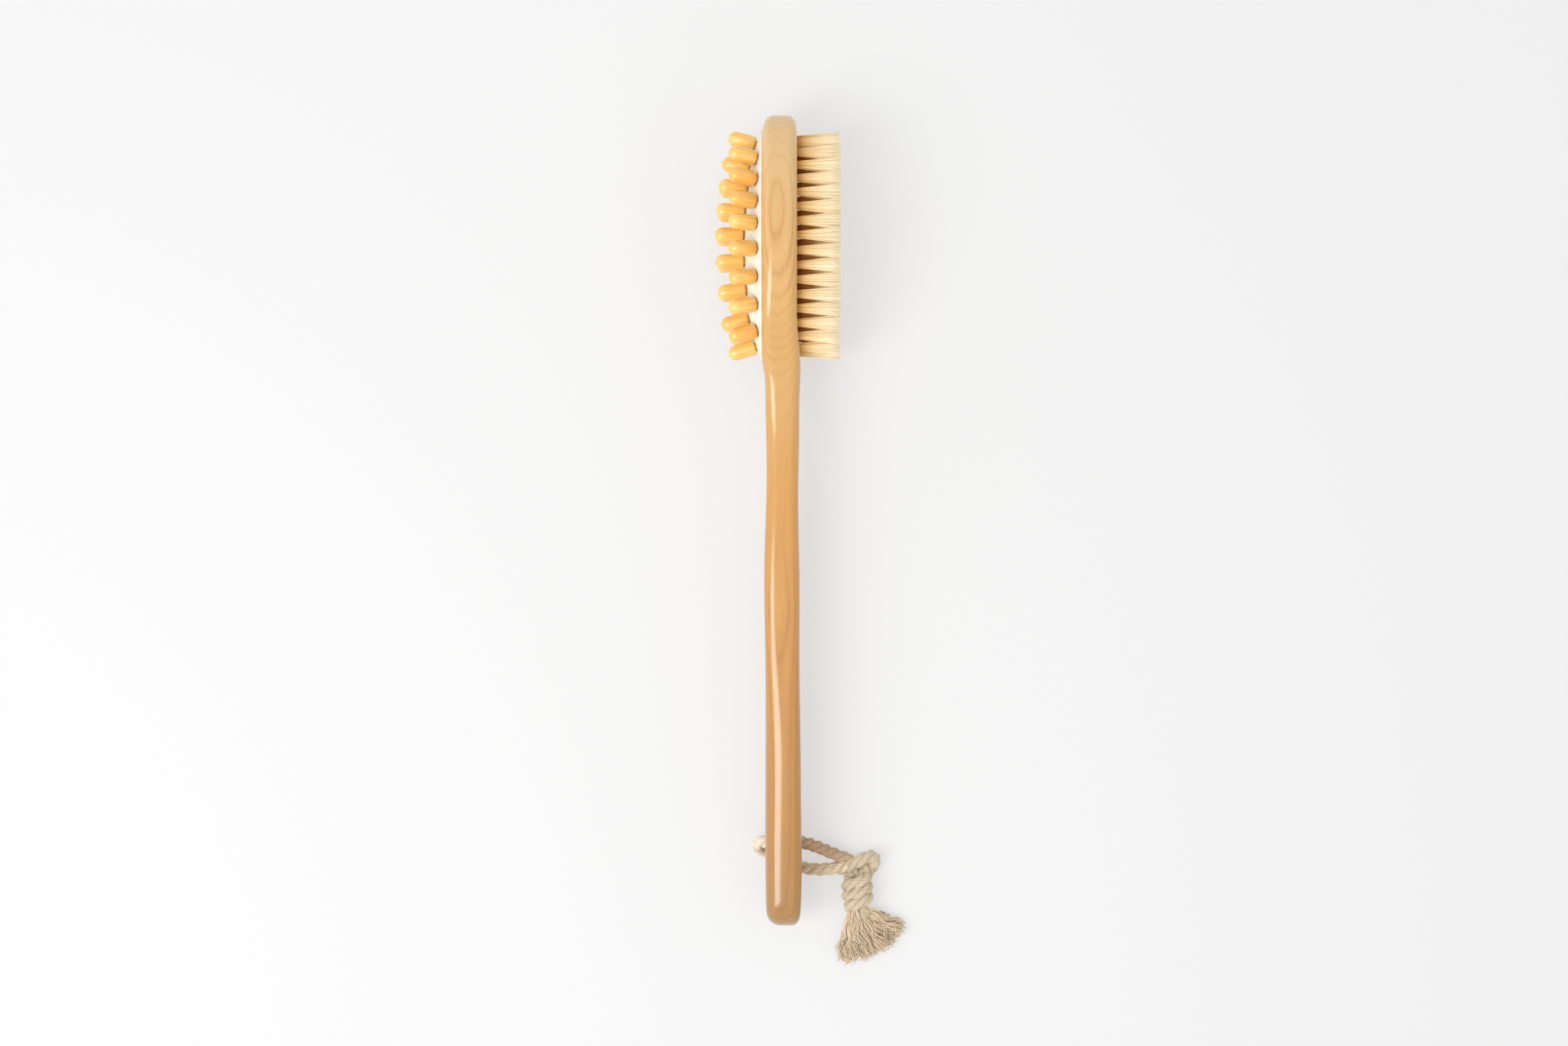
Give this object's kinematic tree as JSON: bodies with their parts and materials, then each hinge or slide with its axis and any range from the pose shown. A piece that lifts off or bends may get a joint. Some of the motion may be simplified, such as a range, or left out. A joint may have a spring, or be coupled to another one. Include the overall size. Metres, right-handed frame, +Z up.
{
  "type": "body dry brush",
  "caption": "Two-sided body brush: oval wooden head with flat-cut bristles on one face and massage pegs on a rubber cushion on the other, one-piece handle with a knotted hanging cord.",
  "frame": {"origin": "bottom centre of the brush standing on its long edge, halfway along it and halfway between bristle tips and peg tips, measured without the cord", "axes": "+Y along the brush towards the tip of the head, +X towards the bristles, +Z up across the width of the head"},
  "size_m": [0.0939, 0.4329, 0.0661],
  "materials": {
    "lacquered_wood": "gloss lacquer",
    "cream_rubber": "satin",
    "peg_wood": "semi-gloss lacquer",
    "natural_bristle": "natural",
    "anchor_metal": "plain",
    "cotton_cord": "undyed cotton"
  },
  "bodies": {
    "brush_body": {"wooden_body": "lacquered_wood", "rubber_cushion": "cream_rubber", "head_end_tufts": "natural_bristle", "neck_end_tufts": "natural_bristle", "upper_side_tufts": "natural_bristle", "lower_side_tufts": "natural_bristle", "second_row_tufts": "natural_bristle", "third_row_tufts": "natural_bristle", "centre_row_tufts": "natural_bristle", "tuft_anchor_plates": "anchor_metal", "hanging_cord": "cotton_cord", "cord_knot": "cotton_cord", "cord_tassel": "cotton_cord"},
    "massage_peg_01": {"massage_peg_01": "peg_wood"},
    "massage_peg_02": {"massage_peg_02": "peg_wood"},
    "massage_peg_03": {"massage_peg_03": "peg_wood"},
    "massage_peg_04": {"massage_peg_04": "peg_wood"},
    "massage_peg_05": {"massage_peg_05": "peg_wood"},
    "massage_peg_06": {"massage_peg_06": "peg_wood"},
    "massage_peg_07": {"massage_peg_07": "peg_wood"},
    "massage_peg_08": {"massage_peg_08": "peg_wood"},
    "massage_peg_09": {"massage_peg_09": "peg_wood"},
    "massage_peg_10": {"massage_peg_10": "peg_wood"},
    "massage_peg_11": {"massage_peg_11": "peg_wood"},
    "massage_peg_12": {"massage_peg_12": "peg_wood"},
    "massage_peg_13": {"massage_peg_13": "peg_wood"},
    "massage_peg_14": {"massage_peg_14": "peg_wood"},
    "massage_peg_15": {"massage_peg_15": "peg_wood"},
    "massage_peg_16": {"massage_peg_16": "peg_wood"},
    "massage_peg_17": {"massage_peg_17": "peg_wood"},
    "massage_peg_18": {"massage_peg_18": "peg_wood"},
    "massage_peg_19": {"massage_peg_19": "peg_wood"},
    "massage_peg_20": {"massage_peg_20": "peg_wood"},
    "massage_peg_21": {"massage_peg_21": "peg_wood"},
    "massage_peg_22": {"massage_peg_22": "peg_wood"},
    "massage_peg_23": {"massage_peg_23": "peg_wood"},
    "massage_peg_24": {"massage_peg_24": "peg_wood"},
    "massage_peg_25": {"massage_peg_25": "peg_wood"},
    "massage_peg_26": {"massage_peg_26": "peg_wood"},
    "massage_peg_27": {"massage_peg_27": "peg_wood"},
    "massage_peg_28": {"massage_peg_28": "peg_wood"},
    "massage_peg_29": {"massage_peg_29": "peg_wood"},
    "massage_peg_30": {"massage_peg_30": "peg_wood"}
  },
  "joints": [
    {"name": "peg_01_rock", "type": "hinge", "parent": "brush_body", "child": "massage_peg_01", "pos_m": [-0.01012, 0.1896, 0.03499], "axis": [0, 0.0382, -0.9993], "range_deg": [-6, 6], "stiffness_Nm_per_rad": 0.02},
    {"name": "peg_02_rock", "type": "hinge", "parent": "brush_body", "child": "massage_peg_02", "pos_m": [-0.01016, 0.18071, 0.04649], "axis": [-0.3648, 0.0355, -0.9304], "range_deg": [-6, 6], "stiffness_Nm_per_rad": 0.02},
    {"name": "peg_03_rock", "type": "hinge", "parent": "brush_body", "child": "massage_peg_03", "pos_m": [-0.01045, 0.17011, 0.05045], "axis": [-0.4691, 0.0337, -0.8825], "range_deg": [-6, 6], "stiffness_Nm_per_rad": 0.02},
    {"name": "peg_04_rock", "type": "hinge", "parent": "brush_body", "child": "massage_peg_04", "pos_m": [-0.01066, 0.15907, 0.05263], "axis": [-0.5222, 0.0325, -0.8522], "range_deg": [-6, 6], "stiffness_Nm_per_rad": 0.02},
    {"name": "peg_05_rock", "type": "hinge", "parent": "brush_body", "child": "massage_peg_05", "pos_m": [-0.01078, 0.14808, 0.05356], "axis": [-0.5472, 0.0319, -0.8364], "range_deg": [-6, 6], "stiffness_Nm_per_rad": 0.02},
    {"name": "peg_06_rock", "type": "hinge", "parent": "brush_body", "child": "massage_peg_06", "pos_m": [-0.01081, 0.13563, 0.05341], "axis": [-0.5528, 0.0318, -0.8327], "range_deg": [-6, 6], "stiffness_Nm_per_rad": 0.02},
    {"name": "peg_07_rock", "type": "hinge", "parent": "brush_body", "child": "massage_peg_07", "pos_m": [-0.01071, 0.12224, 0.05184], "axis": [-0.5338, 0.0323, -0.845], "range_deg": [-6, 6], "stiffness_Nm_per_rad": 0.02},
    {"name": "peg_08_rock", "type": "hinge", "parent": "brush_body", "child": "massage_peg_08", "pos_m": [-0.01048, 0.10892, 0.04856], "axis": [-0.4787, 0.0335, -0.8773], "range_deg": [-6, 6], "stiffness_Nm_per_rad": 0.02},
    {"name": "peg_09_rock", "type": "hinge", "parent": "brush_body", "child": "massage_peg_09", "pos_m": [-0.01013, 0.09621, 0.04268], "axis": [-0.3494, 0.0358, -0.9363], "range_deg": [-6, 6], "stiffness_Nm_per_rad": 0.02},
    {"name": "peg_10_rock", "type": "hinge", "parent": "brush_body", "child": "massage_peg_10", "pos_m": [-0.01012, 0.0892, 0.03115], "axis": [0, 0.0382, -0.9993], "range_deg": [-6, 6], "stiffness_Nm_per_rad": 0.02},
    {"name": "peg_11_rock", "type": "hinge", "parent": "brush_body", "child": "massage_peg_11", "pos_m": [-0.01013, 0.09707, 0.0202], "axis": [0.3494, 0.0358, -0.9363], "range_deg": [-6, 6], "stiffness_Nm_per_rad": 0.02},
    {"name": "peg_12_rock", "type": "hinge", "parent": "brush_body", "child": "massage_peg_12", "pos_m": [-0.01048, 0.1102, 0.0153], "axis": [0.4787, 0.0335, -0.8773], "range_deg": [-6, 6], "stiffness_Nm_per_rad": 0.02},
    {"name": "peg_13_rock", "type": "hinge", "parent": "brush_body", "child": "massage_peg_13", "pos_m": [-0.01071, 0.12373, 0.01304], "axis": [0.5338, 0.0323, -0.845], "range_deg": [-6, 6], "stiffness_Nm_per_rad": 0.02},
    {"name": "peg_14_rock", "type": "hinge", "parent": "brush_body", "child": "massage_peg_14", "pos_m": [-0.01081, 0.1372, 0.01251], "axis": [0.5528, 0.0318, -0.8327], "range_deg": [-6, 6], "stiffness_Nm_per_rad": 0.02},
    {"name": "peg_15_rock", "type": "hinge", "parent": "brush_body", "child": "massage_peg_15", "pos_m": [-0.01078, 0.14962, 0.0133], "axis": [0.5472, 0.0319, -0.8364], "range_deg": [-6, 6], "stiffness_Nm_per_rad": 0.02},
    {"name": "peg_16_rock", "type": "hinge", "parent": "brush_body", "child": "massage_peg_16", "pos_m": [-0.01066, 0.16051, 0.01507], "axis": [0.5222, 0.0325, -0.8522], "range_deg": [-6, 6], "stiffness_Nm_per_rad": 0.02},
    {"name": "peg_17_rock", "type": "hinge", "parent": "brush_body", "child": "massage_peg_17", "pos_m": [-0.01045, 0.17135, 0.01808], "axis": [0.4691, 0.0337, -0.8825], "range_deg": [-6, 6], "stiffness_Nm_per_rad": 0.02},
    {"name": "peg_18_rock", "type": "hinge", "parent": "brush_body", "child": "massage_peg_18", "pos_m": [-0.01016, 0.18161, 0.02284], "axis": [0.3648, 0.0355, -0.9304], "range_deg": [-6, 6], "stiffness_Nm_per_rad": 0.02},
    {"name": "peg_19_rock", "type": "hinge", "parent": "brush_body", "child": "massage_peg_19", "pos_m": [-0.01313, 0.17788, 0.03454], "axis": [0, 0.0382, -0.9993], "range_deg": [-6, 6], "stiffness_Nm_per_rad": 0.02},
    {"name": "peg_20_rock", "type": "hinge", "parent": "brush_body", "child": "massage_peg_20", "pos_m": [-0.01457, 0.16642, 0.04025], "axis": [-0.1748, 0.0376, -0.9839], "range_deg": [-6, 6], "stiffness_Nm_per_rad": 0.02},
    {"name": "peg_21_rock", "type": "hinge", "parent": "brush_body", "child": "massage_peg_21", "pos_m": [-0.01572, 0.15505, 0.0405], "axis": [-0.1876, 0.0375, -0.9815], "range_deg": [-6, 6], "stiffness_Nm_per_rad": 0.02},
    {"name": "peg_22_rock", "type": "hinge", "parent": "brush_body", "child": "massage_peg_22", "pos_m": [-0.01631, 0.14361, 0.04007], "axis": [-0.1847, 0.0375, -0.9821], "range_deg": [-6, 6], "stiffness_Nm_per_rad": 0.02},
    {"name": "peg_23_rock", "type": "hinge", "parent": "brush_body", "child": "massage_peg_23", "pos_m": [-0.01619, 0.13088, 0.03958], "axis": [-0.1853, 0.0375, -0.982], "range_deg": [-6, 6], "stiffness_Nm_per_rad": 0.02},
    {"name": "peg_24_rock", "type": "hinge", "parent": "brush_body", "child": "massage_peg_24", "pos_m": [-0.01515, 0.11677, 0.03865], "axis": [-0.18, 0.0375, -0.983], "range_deg": [-6, 6], "stiffness_Nm_per_rad": 0.02},
    {"name": "peg_25_rock", "type": "hinge", "parent": "brush_body", "child": "massage_peg_25", "pos_m": [-0.01348, 0.1026, 0.03167], "axis": [0, 0.0382, -0.9993], "range_deg": [-6, 6], "stiffness_Nm_per_rad": 0.02},
    {"name": "peg_26_rock", "type": "hinge", "parent": "brush_body", "child": "massage_peg_26", "pos_m": [-0.01515, 0.11726, 0.02578], "axis": [0.18, 0.0375, -0.983], "range_deg": [-6, 6], "stiffness_Nm_per_rad": 0.02},
    {"name": "peg_27_rock", "type": "hinge", "parent": "brush_body", "child": "massage_peg_27", "pos_m": [-0.01619, 0.1314, 0.02593], "axis": [0.1853, 0.0375, -0.982], "range_deg": [-6, 6], "stiffness_Nm_per_rad": 0.02},
    {"name": "peg_28_rock", "type": "hinge", "parent": "brush_body", "child": "massage_peg_28", "pos_m": [-0.01631, 0.14414, 0.02641], "axis": [0.1847, 0.0375, -0.9821], "range_deg": [-6, 6], "stiffness_Nm_per_rad": 0.02},
    {"name": "peg_29_rock", "type": "hinge", "parent": "brush_body", "child": "massage_peg_29", "pos_m": [-0.01572, 0.15558, 0.02685], "axis": [0.1876, 0.0375, -0.9815], "range_deg": [-6, 6], "stiffness_Nm_per_rad": 0.02},
    {"name": "peg_30_rock", "type": "hinge", "parent": "brush_body", "child": "massage_peg_30", "pos_m": [-0.01457, 0.16689, 0.02797], "axis": [0.1748, 0.0376, -0.9839], "range_deg": [-6, 6], "stiffness_Nm_per_rad": 0.02}
  ]
}
